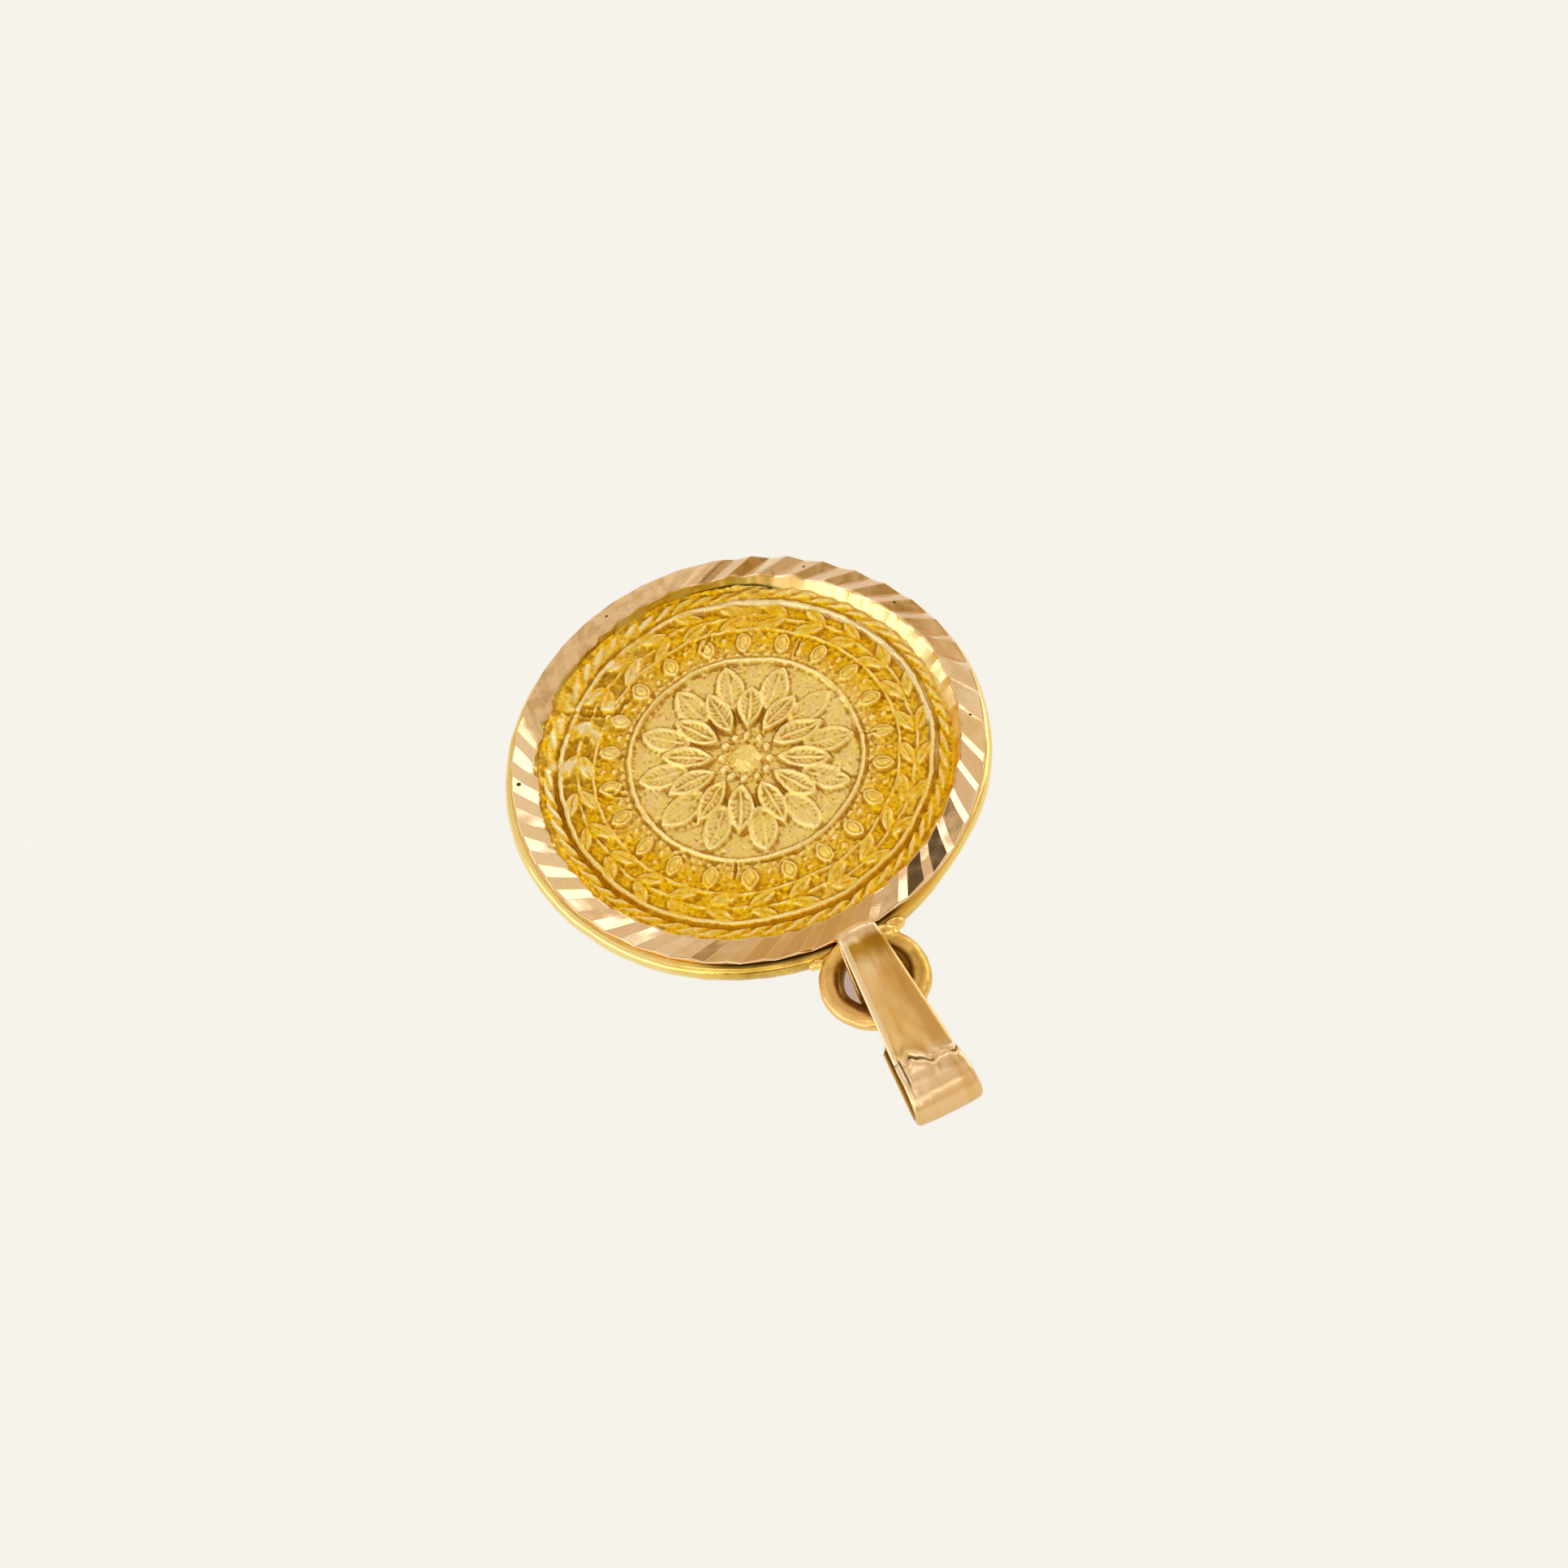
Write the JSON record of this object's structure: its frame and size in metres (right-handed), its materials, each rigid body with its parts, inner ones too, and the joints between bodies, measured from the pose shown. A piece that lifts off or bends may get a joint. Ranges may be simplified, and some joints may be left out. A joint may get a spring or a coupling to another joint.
{
  "type": "medallion pendant",
  "caption": "Round gold medallion pendant: a struck relief medal in a faceted ring frame, with a soldered loop and a folded tapered bail that swings on it.",
  "frame": {"origin": "on the medal's axis, in the plane of the frame's flat back edge, which lies on the surface", "axes": "+Z is along the medal's axis, out of its relief face. -Y points from the medal to the loop and the bail, and +Y the other way. +X completes the right-handed frame, along the axis that the bail swings about."},
  "size_m": [0.02, 0.0285, 0.0033],
  "materials": {
    "medal_gold": "struck yellow gold alloy, bright on the raised relief and darker in its recesses",
    "frame_gold": "polished yellow gold alloy with bright flat cuts on the ring",
    "bail_gold": "polished gold alloy, slightly pinker, with worn soft edges"
  },
  "bodies": {
    "medallion": {"medal": "medal_gold", "frame": "frame_gold"},
    "bail": {"bail": "bail_gold"}
  },
  "joints": [
    {"name": "bail_swing", "type": "hinge", "parent": "medallion", "child": "bail", "pos_m": [0, -0.01338, 0.00106], "axis": [1, 0, 0], "range_deg": [0, 140]}
  ]
}
